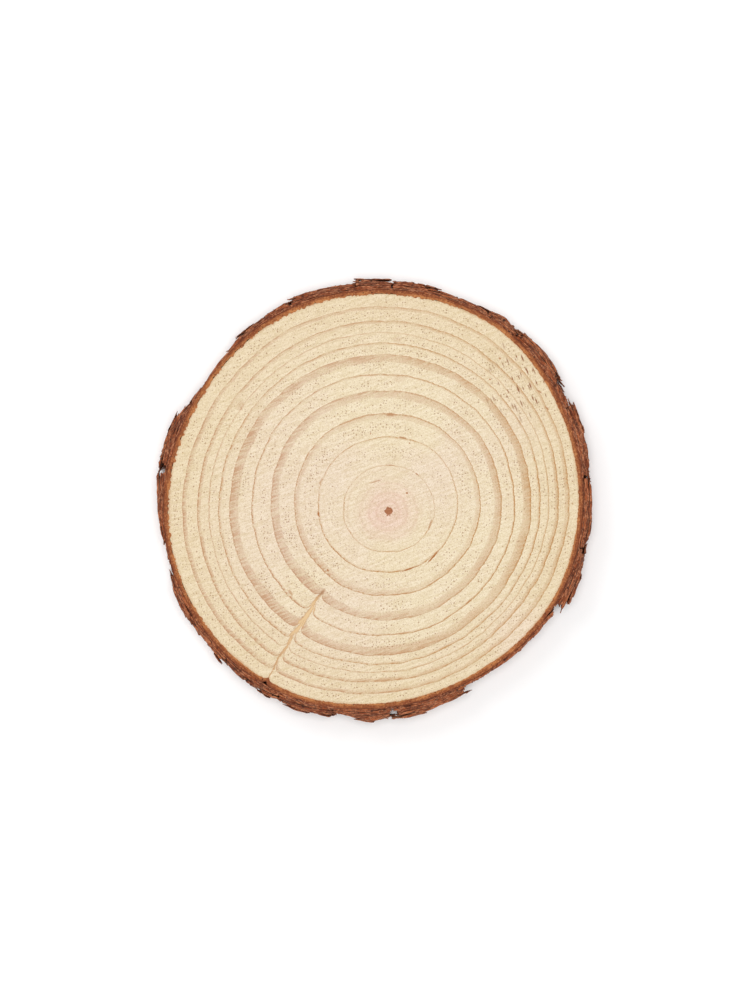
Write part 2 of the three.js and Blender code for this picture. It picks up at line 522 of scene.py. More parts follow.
# %% Plates of outer bark
# from and to in degrees about the pith; proud, in millimetres from the wood, at even steps
# along the plate; lift, in millimetres, at each end.
PLATES = [
    (-10.8, 10.0, (4.3, 5.0, 4.6, 4.1), (0.1, 0.2)),
    (10.3, 30.6, (4.2, 5.0, 5.1, 4.8), (0.1, 0.7)),
    (30.2, 37.4, (3.8, 3.9), (0.0, 0.0)),
    (37.0, 53.8, (5.2, 5.8, 5.4, 4.6), (0.7, 0.1)),
    (54.2, 63.2, (3.4, 4.7, 3.7), (0.1, 0.3)),
    (62.8, 72.0, (3.0, 3.3, 3.3), (0.0, 0.1)),
    (71.6, 80.2, (3.3, 3.6, 3.8), (0.2, 0.1)),
    (79.8, 89.1, (4.1, 4.8, 4.6), (0.1, 0.2)),
    (89.2, 98.9, (3.9, 4.9, 4.9), (0.1, 0.7)),
    (98.4, 115.0, (4.1, 4.4, 4.6), (0.0, 0.6)),
    (115.5, 135.4, (4.1, 3.5, 3.2, 2.3), (0.3, 0.2)),
    (150.8, 168.5, (2.4, 4.8, 5.2, 4.8), (0.0, 0.6)),
    (170.0, 188.2, (4.8, 3.9, 3.2, 2.4), (0.5, 0.1)),
    (198.2, 209.6, (3.6, 4.3, 4.1), (0.2, 0.2)),
    (209.0, 222.4, (3.8, 3.6, 3.9), (0.0, 0.3)),
    (222.2, 234.2, (3.3, 4.2, 4.3), (0.0, 0.1)),
    (233.8, 239.2, (4.5, 4.3, 4.1), (0.2, 0.3)),
    (238.8, 254.2, (4.3, 5.0, 4.2), (0.2, 0.2)),
    (253.6, 271.2, (3.1, 4.4, 6.0, 5.0), (0.1, 0.3)),
    (271.4, 294.2, (5.8, 5.8, 5.0, 4.7), (0.7, 0.4)),
    (293.8, 327.4, (2.3, 2.5, 2.6, 2.6), (0.0, 0.9)),
    (330.8, 349.1, (5.4, 5.4, 4.6), (1.2, 0.2)),
]

# Bare stretches, where only a last thin sheet is left on the inner bark.
THIN_SHEETS = [
    (134.5, 143.5, (2.0, 1.8), (0.1, 0.2)),
    (147.0, 151.5, (2.0, 2.5), (0.2, 0.0)),
    (188.0, 198.6, (2.0, 2.1), (0.1, 0.1)),
]

print(len(PLATES), "plates and", len(THIN_SHEETS), "thin sheets")

# %% One sheet of bark
# Thickness of a sheet, and the spacing of its points, in millimetres.
SHEET_PITCH = 0.85
STEP_ALONG, STEP_UP = 0.45, 0.62

# How far from its edges a sheet frays, breaks off unevenly, thins and lifts.
FRAY_REACH, BREAK_REACH, THIN_REACH, LIFT_REACH = 2.5, 1.5, 1.6, 2.2
CRACK_DEPTH = 0.7
LEAST_THICKNESS = 0.12

# The stem's mean radius turns angles into millimetres. The grain swings round the stem by
# up to this angle on its way down.
MEAN_RADIUS = 76
GRAIN_SWING = math.radians(2.2)


def bark_sheet(start, stop, base, skin, lifts, low, high, free, seed):
    """One sheet of bark as points, faces and the numbers stored at its points.

    start and stop are in radians, base and skin give the sheet's inside and outside in
    millimetres from the wood for a share from 0 to 1 of the way along. A sheet on top of
    the pile is free to fray at its ends; free is 1 for it and 0 for one held in the pile.
    """
    length = (stop - start) * MEAN_RADIUS
    rows = max(6, int((high - low) / STEP_UP))
    columns = max(8, int(length / STEP_ALONG))
    size = rows * columns
    t, height = np.meshgrid(np.linspace(0.0, 1.0, columns), np.linspace(low, high, rows))

    # Its two ends are ragged, and its upright lines swing round the stem with the grain.
    end_off = np.minimum(t, 1 - t) * length
    end = np.where(t < 0.5, 5.0, 9.0)
    ragged = 0.8 * noise(height / 3.1, end, 0.0, seed)
    ragged += 0.3 * noise(height / 0.9, end, 0.0, seed + 1)
    reach = np.exp(-end_off / FRAY_REACH) * np.where(t < 0.5, 1.0, -1.0) * (0.2 + 0.8 * free)
    upright = start + t * (stop - start)
    swing = GRAIN_SWING * np.sin(4 * upright) * (height / THICKNESS - 1.0)
    angle = upright + swing + reach * ragged / MEAN_RADIUS

    # Where it has broken off between the two saw cuts, that edge wanders too.
    wander = 0.9 * noise(upright * 20, 0.0, 3.0, seed + 2)
    wander = wander + 0.4 * noise(upright * MEAN_RADIUS, 0.0, 7.0, seed + 3)
    from_low = np.exp(-(height - low) / BREAK_REACH) * (low > 0.5)
    from_high = np.exp(-(high - height) / BREAK_REACH) * (high < THICKNESS - 0.5)
    height = height + wander * (from_low + from_high)

    # It thins towards its edges, lifts at its ends, and has grooves, lumps and cracks.
    feather = 1 - 0.7 * free * (1 - ease_between(0.0, THIN_REACH, end_off))
    feather = feather * (1 - 0.6 * from_low - 0.6 * from_high)
    lift = lifts[0] * np.exp(-t * length / LIFT_REACH)
    lift = lift + lifts[1] * np.exp(-(1 - t) * length / LIFT_REACH)
    wood = ring_radius(LAST_RING, angle)
    grooves = 0.09 * stem_noise(angle, wood, height, 1.1, seed + 4, 4.0)
    lumps = 0.20 * stem_noise(angle, wood, height, 3.4, seed + 5, 1.5)
    inside = wood + base(t) + lift + 0.5 * lumps
    outside = inside + (skin(t) - base(t)) * feather + grooves * feather + 0.5 * lumps
    # The cracks are cut into the outside, and the same mask is stored to paint shade into them.
    crack_and_shade = 1 - np.abs(stem_noise(angle, wood, height, 3.6, seed + 6, 2.2))
    cracked = ease_between(-0.2, 0.3, stem_noise(angle, wood, height, 9.0, 77))
    crack_and_shade = ease_between(0.86, 0.99, crack_and_shade) * cracked * ease_between(0.3, 0.7, free)
    outside = np.maximum(outside - CRACK_DEPTH * crack_and_shade, inside + LEAST_THICKNESS)

    edge = np.concatenate([
        np.arange(columns),
        np.arange(1, rows) * columns + columns - 1,
        (rows - 1) * columns + np.arange(columns - 2, -1, -1),
        np.arange(rows - 2, 0, -1) * columns,
    ])
    ahead = np.roll(edge, -1)
    rim = np.stack([edge, ahead, ahead + size, edge + size], axis=-1)
    faces = np.concatenate([grid_faces(rows, columns), grid_faces(rows, columns, size), rim])
    grids = [(place_on_stem(angle, far, height), bark_grain(angle, far - wood, height))
             for far in (outside, inside)]
    points, grain = (np.concatenate(part) for part in zip(*grids))
    lip = np.maximum(np.exp(-end_off / 1.2), from_low + from_high)
    return points, faces, {
        "through": np.repeat([1.0, 0.0], size),
        "crack_and_shade": np.append(crack_and_shade.ravel(), np.zeros(size)),
        "lip": np.tile(lip.ravel(), 2),
        "tint": np.full(2 * size, lattice(np.int64(seed), np.int64(5), np.int64(9), 1)),
        "grain": grain,
    }


# %% A plate as a stack of sheets
rng = np.random.default_rng(7)


def join_sheets(name, sheets):
    """Puts many sheets into one piece."""
    offsets = np.cumsum([0] + [len(points) for points, _, _ in sheets[:-1]])
    points = np.concatenate([points for points, _, _ in sheets])
    faces = np.concatenate([faces + off for (_, faces, _), off in zip(sheets, offsets)])
    keys = sheets[0][2].keys()
    numbers = {key: np.concatenate([found[key] for _, _, found in sheets]) for key in keys}
    return new_piece(name, points, faces, numbers)


def plate_sheets(plate, seed):
    """The stacked sheets of one plate, from the wood outwards."""
    start, stop, proud, lifts = plate
    span = stop - start
    steps = np.linspace(0.0, 1.0, len(proud))
    stack = max(1, round((max(proud) - INNER_BARK) / SHEET_PITCH))
    sheets = []
    for layer in range(stack):
        outermost = layer == stack - 1
        trim_from, trim_to = rng.uniform(0.0, 0.03 * layer, 2) if layer else (-0.03, -0.03)
        full_height = rng.random() < 0.75 or layer == 0
        low = rng.uniform(0.0, 0.25) if full_height else rng.uniform(1.5, 5.5)
        high = THICKNESS - rng.uniform(0.0, 0.22)
        gap = rng.uniform(0.0, 0.07)

        def surface(t, part, shift=0.0):
            """How far a share of the plate's thickness lies off the wood, a share t along."""
            along = trim_from + t * (1 - trim_from - trim_to)
            root = INNER_BARK - 0.2
            return root + (np.interp(along, steps, proud) - root) * part - shift

        sheets.append(bark_sheet(
            math.radians(start + trim_from * span),
            math.radians(stop - trim_to * span),
            lambda t: surface(t, layer / stack),
            lambda t: surface(t, (layer + 1) / stack, gap),
            [lift if outermost else 0.0 for lift in lifts],
            low,
            high,
            float(outermost),
            seed * 40 + layer * 7,
        ))
    return sheets


# %% Loose flakes
# On top of the plates: from and to in degrees, millimetres off the wood at each end, and
# thickness.
FLAKES = [
    (22.8, 30.6, 5.2, 5.3, 0.42),
    (43.5, 48.0, 5.5, 5.3, 0.30),
    (61.0, 65.6, 3.7, 3.5, 0.25),
    (76.6, 82.6, 3.9, 4.4, 0.30),
    (89.6, 98.4, 4.9, 5.4, 0.36),
    (126.0, 131.4, 3.2, 3.5, 0.26),
    (147.6, 151.0, 1.9, 2.4, 0.25),
    (155.0, 159.6, 4.7, 5.2, 0.28),
    (219.4, 222.4, 3.9, 4.6, 0.34),
    (233.4, 236.8, 4.4, 4.9, 0.32),
    (241.0, 247.4, 4.9, 5.2, 0.30),
    (249.4, 253.8, 4.3, 4.8, 0.32),
    (260.6, 266.2, 5.2, 6.1, 0.34),
    (274.6, 281.0, 5.9, 5.8, 0.30),
    (335.0, 341.0, 5.5, 5.6, 0.30),
]


def loose_flake(flake, seed):
    start, stop, off_from, off_to, thick = flake
    low = rng.uniform(0.2, 8.0)
    high = THICKNESS - rng.uniform(0.0, 0.5)

    def base(t):
        return off_from + (off_to - off_from) * t - 0.1

    start, stop = math.radians(start), math.radians(stop)
    lifts, free = (0.25, 0.25), 0.6
    return bark_sheet(start, stop, base, lambda t: base(t) + thick, lifts, low, high, free, seed)


# %% Lay the plates and flakes
inner_sheets, middle_sheets, outer_sheets = [], [], []
for number, plate in enumerate(PLATES + THIN_SHEETS):
    made = plate_sheets(plate, number + 1)
    inner_sheets += made[:1]
    middle_sheets += made[1:-1]
    outer_sheets += made[1:][-1:]
flakes = [loose_flake(flake, 3000 + 9 * i) for i, flake in enumerate(FLAKES)]

bark_plates = [
    join_sheets("bark_plates_inner", inner_sheets),
    join_sheets("bark_plates_middle", middle_sheets),
    join_sheets("bark_plates_outer", outer_sheets),
    join_sheets("bark_flakes", flakes),
]

# %% [markdown]
# ## Papery scales
#
# The side of the plates is covered in small scales a few millimetres across, each as thin
# as paper and a little lifted. Hundreds of almost equal things on a surface are what
# Geometry Nodes are for: points are scattered over the surface, a scale is set on each,
# turned and sized at random, and the lot is made real. The scale itself is a thin box of
# seventy faces with its outline roughened by noise. The scatter's surface is a simple
# skin just under the faces of the plates, made for the purpose and then thrown away. Last,
# the points of every scale are held between the two saw cuts, as the blade trimmed them.

# %% Surface for the scales to sit on
BED_DEPTH = 0.45
BED_COLUMNS, BED_ROWS = 720, 9


def proud_all_round(angle):
    """How far the outer bark stands off the wood in each direction, in millimetres."""
    degrees = np.degrees(angle) % 360
    proud = np.full(degrees.shape, INNER_BARK + 0.25)
    for start, stop, values, _ in PLATES + THIN_SHEETS:
        share = ((degrees - start) % 360) / (stop - start)
        found = np.interp(share, np.linspace(0, 1, len(values)), values)
        proud = np.where(share <= 1, np.maximum(proud, found), proud)
    return proud


def make_scale_bed():
    angles = np.arange(BED_COLUMNS) * TURN / BED_COLUMNS
    angle, height = np.meshgrid(angles, np.linspace(1.6, THICKNESS - 2.0, BED_ROWS))
    swing = GRAIN_SWING * np.sin(4 * angle) * (1.0 - height / THICKNESS)
    radius = ring_radius(LAST_RING, angle) + proud_all_round(angle + swing) - BED_DEPTH
    points = place_on_stem(angle, radius, height)
    faces = grid_faces(BED_ROWS, BED_COLUMNS, 0, True)[:, ::-1]
    mesh = bpy.data.meshes.new("scale_bed")
    mesh.from_pydata((points * MM).tolist(), [], faces.tolist())
    return add_object("scale_bed", mesh)

# %% [markdown]
# ## Sums with nodes
#
# Node trees are mostly arithmetic, and a Math node for each step is long to write. The class
# below stands for a number that flows through a tree. Adding, multiplying or comparing such
# numbers in Python adds the nodes that do it in the tree, so a formula reads as a formula.
# The helpers after it add the other nodes that turn up again and again.


# %% Numbers in a node tree
class Number:
    """A number in a node tree. Sums done with it add Math nodes.

    A sum's node is added when its result is first fed to another node. So a product with
    something added to it takes one node, not two, and a sum that isn't used takes none.
    """

    def __init__(self, tree, operation, *terms, clamp=False):
        self.id_data = tree
        self.operation = operation
        self.terms = terms
        self.clamp = clamp
        self.made = None

    def socket(self):
        if self.made is None:
            feeds = dict(enumerate(self.terms))
            settings = {"operation": self.operation, "use_clamp": self.clamp}
            self.made = node(self.id_data, "ShaderNodeMath", feeds, **settings).outputs[0]
        return self.made

    def sum(self, operation, *others):
        return Number(self.id_data, operation, self, *others)

    def __add__(self, other):
        if self.operation == "MULTIPLY" and not self.clamp:
            return Number(self.id_data, "MULTIPLY_ADD", *self.terms, other)
        return self.sum("ADD", other)

    def __sub__(self, other):
        if isinstance(other, (int, float)):
            return self + -other
        return self.sum("SUBTRACT", other)

    def __rsub__(self, other):
        return Number(self.id_data, "SUBTRACT", other, self)

    def __rtruediv__(self, other):
        return Number(self.id_data, "DIVIDE", other, self)

    def clamped(self):
        """The same sum, held between 0 and 1."""
        return Number(self.id_data, self.operation, *self.terms, clamp=True)

    def step(self, low, high):
        """0 at low, 1 at high, smooth between; low may be the larger of the two."""
        feeds = {"Value": self, "From Min": low, "From Max": high, "To Min": 0.0, "To Max": 1.0}
        kind = "ShaderNodeMapRange"
        return number(node(self.id_data, kind, feeds, interpolation_type="SMOOTHSTEP"))


# The rest are one Math node each.
for method, operation in (
    ("__mul__", "MULTIPLY"),
    ("__truediv__", "DIVIDE"),
    ("__pow__", "POWER"),
    ("__abs__", "ABSOLUTE"),
    ("floor", "FLOOR"),
    ("at_least", "MAXIMUM"),
    ("at_most", "MINIMUM"),
    ("below", "LESS_THAN"),
):
    def one_node(self, *others, operation=operation):
        return self.sum(operation, *others)

    setattr(Number, method, one_node)

# %% Node helpers
ORIGIN = (0.0, 0.0, 0.0)


def feed(made, feeds):
    """Gives a node's inputs a value or a link, by name or number."""
    for key, value in feeds.items():
        value = value.socket() if isinstance(value, Number) else value
        if isinstance(value, bpy.types.NodeSocket):
            made.id_data.links.new(value, made.inputs[key])
        else:
            made.inputs[key].default_value = value


def node(tree, kind, feeds=None, **settings):
    made = tree.nodes.new(kind)
    for key, value in settings.items():
        setattr(made, key, value)
    feed(made, feeds or {})
    return made


def number(made, output=0):
    """The output of a node, ready to do sums with."""
    socket = made.outputs[output]
    wrapped = Number(socket.id_data, "")
    wrapped.made = socket
    return wrapped


def vector(x=0.0, y=0.0, z=0.0):
    tree = next(part.id_data for part in (x, y, z) if isinstance(part, Number))
    return node(tree, "ShaderNodeCombineXYZ", {0: x, 1: y, 2: z}).outputs[0]


def parts_of(place):
    """The three numbers of a vector."""
    made = node(place.id_data, "ShaderNodeSeparateXYZ", {0: place})
    return [number(made, axis) for axis in range(3)]


def position(tree):
    """The three numbers of a point's place, in a Geometry Nodes tree."""
    return parts_of(node(tree, "GeometryNodeInputPosition").outputs[0])


def vector_sum(operation, a, b):
    return node(a.id_data, "ShaderNodeVectorMath", {0: a, 1: b}, operation=operation).outputs[0]


def distance(a, b=ORIGIN):
    made = node(a.id_data, "ShaderNodeVectorMath", {0: a, 1: b}, operation="DISTANCE")
    return number(made, "Value")


def turned_about(place, angle, centre=ORIGIN):
    """A place turned about a centre, as seen from above."""
    feeds = {"Vector": place, "Center": centre, "Angle": angle}
    return node(place.id_data, "ShaderNodeVectorRotate", feeds, rotation_type="Z_AXIS").outputs[0]


def soft_noise(place, scale, detail=2.0, roughness=0.5):
    feeds = {"Vector": place, "Scale": scale, "Detail": detail, "Roughness": roughness}
    return number(node(place.id_data, "ShaderNodeTexNoise", feeds), "Fac")


def random_number(tree, low, high, seed):
    feeds = {2: low, 3: high, "Seed": seed}
    return number(node(tree, "FunctionNodeRandomValue", feeds, data_type="FLOAT"), 1)


# %% One scale, in Geometry Nodes
SCALE_THICKNESS = 0.09 * MM


def scale_shape(tree, seed_value):
    """One scale, a millimetre across and thin: a box of points with a ragged outline."""
    feeds = {"Vertices X": 6, "Vertices Y": 6, "Vertices Z": 2}
    feeds["Size"] = (1 * MM, 1 * MM, SCALE_THICKNESS)
    box = node(tree, "GeometryNodeMeshCube", feeds).outputs["Mesh"]
    x, y, _ = position(tree)
    flat = vector(x, y)
    feeds = {"Vector": flat, "Scale": 2400.0, "Detail": 3.0, "W": seed_value}
    ragged = node(tree, "ShaderNodeTexNoise", feeds, noise_dimensions="4D").outputs["Color"]
    push = vector_sum("SUBTRACT", ragged, (0.5, 0.5, 0.5))
    push = vector_sum("MULTIPLY", push, (1.0 * MM, 1.0 * MM, 0.16 * MM))
    curl = distance(flat) ** 2.0 * (0.26 / MM)
    offset = vector_sum("ADD", push, vector(z=curl))
    return node(tree, "GeometryNodeSetPosition", {"Geometry": box, "Offset": offset}).outputs[0]


# %% Tree that scatters the scales
SCALE_SPACING = 2.8 * MM


def scale_tree(material):
    """Scatters scales over a surface; named inputs give their sizes and how close they sit."""
    tree = bpy.data.node_groups.new("papery_scales", "GeometryNodeTree")
    for name, kind, value in (
        ("Geometry", "Geometry", None),
        ("Spacing", "Float", SCALE_SPACING),
        ("Smallest", "Float", 1.6),
        ("Largest", "Float", 4.2),
        ("Height Cut", "Float", 15 * MM),
        ("Seed", "Int", 4),
    ):
        socket = tree.interface.new_socket(name, in_out="INPUT", socket_type="NodeSocket" + kind)
        if value is not None:
            socket.default_value = value
    tree.interface.new_socket("Geometry", in_out="OUTPUT", socket_type="NodeSocketGeometry")
    given = node(tree, "NodeGroupInput").outputs
    scatter = node(tree, "GeometryNodeDistributePointsOnFaces", {
        "Mesh": given["Geometry"],
        "Distance Min": given["Spacing"],
        "Density Max": 400000.0,
        "Seed": given["Seed"],
    }, distribute_method="POISSON")
    shapes = node(tree, "GeometryNodeGeometryToInstance")
    for seed_value in (1.3, 4.1, 7.7, 9.2):
        tree.links.new(scale_shape(tree, seed_value), shapes.inputs[0])

    # Each scale faces away from the pith, give or take a small turn, and has its own size.
    x, y, _ = position(tree)
    facing = node(tree, "FunctionNodeAlignRotationToVector", {
        "Vector": vector(x - PITH_X * MM, y - PITH_Y * MM),
    }, axis="Z", pivot_axis="AUTO")
    spin = node(tree, "FunctionNodeRandomValue", {
        0: (-0.05, -0.07, -0.6),
        1: (0.05, 0.07, 0.6),
        "Seed": 3,
    }, data_type="FLOAT_VECTOR")
    turned = node(tree, "FunctionNodeRotateRotation", {
        "Rotation": facing.outputs[0],
        "Rotate By": spin.outputs[0],
    }, rotation_space="LOCAL")
    width = random_number(tree, given["Smallest"], given["Largest"], 5)
    longer = random_number(tree, 0.6, 1.3, 6)
    thick = random_number(tree, 2.2, 4.2, 7)
    dots = node(tree, "GeometryNodeInstanceOnPoints", {
        "Points": scatter.outputs["Points"],
        "Instance": shapes.outputs[0],
        "Pick Instance": True,
        "Rotation": turned.outputs[0],
        "Scale": vector(width, width * longer, thick),
    })
    tinted = node(tree, "GeometryNodeStoreNamedAttribute", {
        "Geometry": dots.outputs[0],
        "Name": "tint",
        "Value": random_number(tree, 0.0, 1.0, 8),
    }, data_type="FLOAT", domain="INSTANCE")
    real = node(tree, "GeometryNodeRealizeInstances", {0: tinted.outputs[0]})

    # Held between the two saw cuts.
    x, y, z = position(tree)
    held = z.at_least(0.05 * MM).at_most(given["Height Cut"])
    trimmed = node(tree, "GeometryNodeSetPosition", {
        "Geometry": real.outputs[0],
        "Position": vector(x, y, held),
    })
    finished = node(tree, "GeometryNodeSetMaterial", {
        "Geometry": trimmed.outputs[0],
        "Material": material,
    })
    node(tree, "NodeGroupOutput", {0: finished.outputs[0]})
    return tree


# %% Run the tree on the bed
def scatter_scales(material):
    """The scales as a piece of their own, once the tree has run on the bed."""
    bed = make_scale_bed()
    modifier = bed.modifiers.new("scales", "NODES")
    modifier.node_group = scale_tree(material)
    sockets = modifier.node_group.interface.items_tree
    keys = {item.name: item.identifier for item in sockets if item.in_out == "INPUT"}
    modifier[keys["Height Cut"]] = (THICKNESS - 0.05) * MM
    modifier[keys["Spacing"]] = SCALE_SPACING
    bpy.context.view_layer.update()
    seen = bed.evaluated_get(bpy.context.evaluated_depsgraph_get())
    mesh = bpy.data.meshes.new_from_object(seen)
    bed.modifiers.remove(modifier)
    bpy.data.objects.remove(bed)
    mesh.name = "papery_scales"
    print("papery_scales has", len(mesh.polygons), "faces")
    return add_object("papery_scales", mesh)

# %% [markdown]
# ## Effects that several finishes share
#
# Wood and bark were cut by one saw, both are peppered with dark specks, and both show fine
# lines laid one on another. Each of those effects is a node group, made once with named
# inputs and placed in each material with its own values. A group gives back only a mask
# from 0 to 1, and the material decides what the mask does.


# %% Node group helpers
def new_group(name, inputs, *outputs):
    """A shader group with named inputs, each with its usual value, and named masks out."""
    tree = bpy.data.node_groups.new(name, "ShaderNodeTree")
    for key, value in inputs.items():
        kind = "NodeSocketFloat" if isinstance(value, float) else "NodeSocketVector"
        tree.interface.new_socket(key, in_out="INPUT", socket_type=kind).default_value = value
    for key in outputs:
        tree.interface.new_socket(key, in_out="OUTPUT", socket_type="NodeSocketFloat")
    start = node(tree, "NodeGroupInput")
    print("node group", name, "takes", ", ".join(inputs))
    return tree, {key: number(start, key) for key in inputs}


def use_group(group, feeds, output=0):
    """Places a group beside whatever feeds its Vector, and gives back one of its masks."""
    tree = feeds["Vector"].id_data
    return number(node(tree, "ShaderNodeGroup", feeds, node_tree=group), output)


# %% Saw marks
def make_saw_marks():
    """Short parallel scratches that the blade leaves across a cut face."""
    inputs = {"Vector": ORIGIN, "Angle": 0.35, "Spacing": 0.7}
    tree, given = new_group("saw_marks", inputs, "Mask")
    x, y, _ = parts_of(turned_about(given["Vector"], given["Angle"] * -1.0))
    per_unit = 1.0 / MM / given["Spacing"]
    lines = soft_noise(vector(x * per_unit * 0.10, y * per_unit), 1.0, 1.0, 0.6)
    node(tree, "NodeGroupOutput", {"Mask": lines.step(0.30, 0.70)})
    return tree


saw_marks = make_saw_marks()


# %% Specks
def make_specks(name, dimensions):
    """Dark specks: Spacing apart and Size across in millimetres, and Share of them shown."""
    inputs = {"Vector": ORIGIN, "Spacing": 1.2, "Size": 0.2, "Share": 0.5}
    tree, given = new_group(name, inputs, "Mask")
    feeds = {"Vector": given["Vector"], "Scale": 1.0 / MM / given["Spacing"], "Randomness": 1.0}
    cells = node(tree, "ShaderNodeTexVoronoi", feeds, voronoi_dimensions=dimensions)
    luck = node(tree, "ShaderNodeSeparateColor", {0: cells.outputs["Color"]})
    radius = given["Size"] / given["Spacing"] * (number(luck, 1) * 0.5 + 0.3)
    dot = number(node(tree, "ShaderNodeMapRange", {
        "Value": cells.outputs["Distance"],
        "From Min": radius * 1.5,
        "From Max": radius * 0.5,
    }))
    node(tree, "NodeGroupOutput", {"Mask": dot * number(luck, 0).below(given["Share"])})
    return tree


pores = make_specks("pores", "2D")
specks = make_specks("specks", "3D")


# %% Laid lines
def make_laid_lines():
    """Fine wavy lines laid one on another, as in bark seen from its cut edge."""
    inputs = {"Vector": ORIGIN, "Along": 5.0, "Across": 0.3, "Contrast": 0.2}
    tree, given = new_group("laid_lines", inputs, "Mask", "Threads")
    x, y, z = parts_of(given["Vector"])
    along = given["Along"]
    lines = soft_noise(vector(x / along, y / along, z / 20.0 / given["Across"]), 1.0, 3.0, 0.65)
    node(tree, "NodeGroupOutput", {
        "Mask": lines.step(0.5 - given["Contrast"], given["Contrast"] + 0.5),
        "Threads": abs(lines - 0.53).step(0.05, 0.012),
    })
    return tree


laid_lines = make_laid_lines()


# %% Resin marks
def make_resin_mark():
    """One short dash: its middle, its direction, and one over its half length and width."""
    tree, given = new_group("resin_mark", {
        "Vector": ORIGIN,
        "Fuzz": 0.5,
        "Middle": ORIGIN,
        "Angle": 0.0,
        "Fineness": (1.0, 1.0, 0.0),
        "Strength": 1.0,
        "Others": 0.0,
    }, "Mask")
    turned = turned_about(given["Vector"], given["Angle"], given["Middle"])
    off = vector_sum("SUBTRACT", turned, given["Middle"])
    off = vector_sum("MULTIPLY", off, given["Fineness"])
    mask = (distance(off) + given["Fuzz"]).step(1.75, 1.0) * given["Strength"]
    node(tree, "NodeGroupOutput", {"Mask": mask.at_least(given["Others"])})
    return tree


resin_mark = make_resin_mark()


# %% Mixing colours
LIGHT = 1.10


def paint(red, green, blue):
    """A colour from its screen values, 0 to 255, as the linear numbers that light works in."""
    def linear(value):
        value = value / 255
        bent = value / 12.92 if value <= 0.04045 else ((value + 0.055) / 1.055) ** 2.4
        return bent / LIGHT
    return (linear(red), linear(green), linear(blue), 1.0)


def mix(share, first, second, mode="MIX"):
    tree = next(value.id_data for value in (share, first) if hasattr(value, "id_data"))
    feeds = {0: share, 6: first, 7: second}
    return node(tree, "ShaderNodeMix", feeds, data_type="RGBA", blend_type=mode).outputs[2]


def coats(colour, *layers):
    """Lays coats of paint over a colour, one after another, each where its mask is."""
    for mask, shade in layers:
        colour = mix(mask, colour, paint(*shade))
    return colour


def read(tree, name, output="Fac"):
    """A number stored on the mesh."""
    return number(node(tree, "ShaderNodeAttribute", attribute_name=name), output)


def ring_lookup(place, values):
    """Picks the value of the ring that a point lies in, with a ramp of flat steps."""
    ramp = node(place.id_data, "ShaderNodeValToRGB", {0: place})
    ramp.color_ramp.interpolation = "CONSTANT"
    stops = ramp.color_ramp.elements
    while len(stops) < len(values):
        stops.new(0.5)
    for ring, value in enumerate(values):
        stops[ring].position = ring / len(values)
        stops[ring].color = (value, value, value, 1.0)
    return number(ramp)


# %% Material helpers
BUMP_STRENGTH = 0.8


def new_material(name):
    """A material, its node tree, and the place of a point in metres."""
    material = bpy.data.materials.new(name)
    material.use_nodes = True
    tree = material.node_tree
    return material, tree, node(tree, "ShaderNodeTexCoord").outputs["Object"]


def finish(material, colour, rough, height, depth, shine):
    """Feeds a material's shader. Depth is how deep its bumps are, in millimetres."""
    tree = material.node_tree
    feeds = {"Height": height, "Distance": depth * MM, "Strength": BUMP_STRENGTH}
    bump = node(tree, "ShaderNodeBump", feeds)
    feed(tree.nodes["Principled BSDF"], {
        "Base Color": colour,
        "Roughness": rough,
        "Normal": bump.outputs[0],
        "Specular IOR Level": shine,
    })
    print("material", material.name, "has", len(tree.nodes), "nodes")
    return material

# %% [markdown]
# ## Sawn pine
#
# The finish of the face is built up the way the eye reads it. First the wood's own cream,
# yellower and pinker in broad clouds. Then the summer wood: in each ring the colour deepens
# towards the outer edge and stops dead there, and every ring has its own width and depth,
# looked up by its number. The saw dragged the dark wood about, so the saw marks jiggle the
# growth number a little before it is used, which gives the bands their combed edges. Then
# come resin canals, fine mottling, the pink heart round the pith, the scar and the few dark
# resin marks that this slice has.

# %% Resin marks of this slice
# Each mark: degrees round, millimetres from the pith, half length, half width, darkness,
# and how many degrees it turns away from lying along the ring.
RESIN_MARKS = [
    (289.5, 21.4, 3.3, 0.30, 0.95, 0),
    (314.2, 22.3, 3.3, 0.30, 1.00, 3),
    (79.5, 26.3, 1.4, 0.32, 0.70, 0),
    (87.5, 16.2, 1.8, 0.25, 0.60, 0),
    (52.5, 16.4, 0.8, 0.28, 0.60, 0),
    (342.5, 15.2, 2.0, 0.28, 0.65, 0),
    (113.0, 11.4, 2.3, 0.28, 0.60, -6),
    (182.0, 24.6, 1.0, 0.36, 0.95, 0),
    (156.0, 26.0, 1.6, 0.34, 0.45, 0),
    (45.0, 9.1, 0.42, 0.36, 1.00, 0),
    (73.0, 25.0, 0.34, 0.26, 0.85, 0),
    (224.0, 29.6, 0.55, 0.34, 0.85, 0),
    (89.0, 33.8, 1.9, 0.55, 0.65, 0),
    (219.5, 44.6, 1.3, 0.55, 0.55, 0),
    (312.0, 42.2, 1.4, 0.40, 0.55, 0),
    (103.0, 27.9, 0.25, 0.22, 0.9, 0),
    (237.0, 11.2, 1.1, 0.24, 0.45, 50),
    (145.0, 63.0, 0.7, 0.4, 0.45, 40),
    (38.5, 67.4, 1.2, 0.28, 0.75, 16),
    (33.0, 66.2, 1.0, 0.30, 0.70, 12),
    (54.0, 66.2, 0.5, 0.40, 0.75, 0),
    (52.5, 58.3, 0.45, 0.35, 0.8, 20),
    (352.0, 63.8, 0.9, 0.22, 0.55, 70),
    (2.5, 64.4, 0.4, 0.32, 0.6, 0),
    (85.5, 46.7, 2.4, 1.5, 0.15, 0),
    (87.0, 60.2, 1.7, 1.2, 0.18, 0),
    (144.5, 63.8, 1.8, 1.4, 0.20, 0),
    (150.0, 57.0, 9.0, 2.5, 0.08, 0),
]


# %% Patches and marks
def soft_patch(place, ragged, x, y, outer, inner):
    """A patch of the face: 1 within inner millimetres of its middle, 0 beyond outer."""
    far = distance(place, (x * MM, y * MM, THICKNESS * MM))
    return (ragged + far).step(outer * MM, inner * MM)


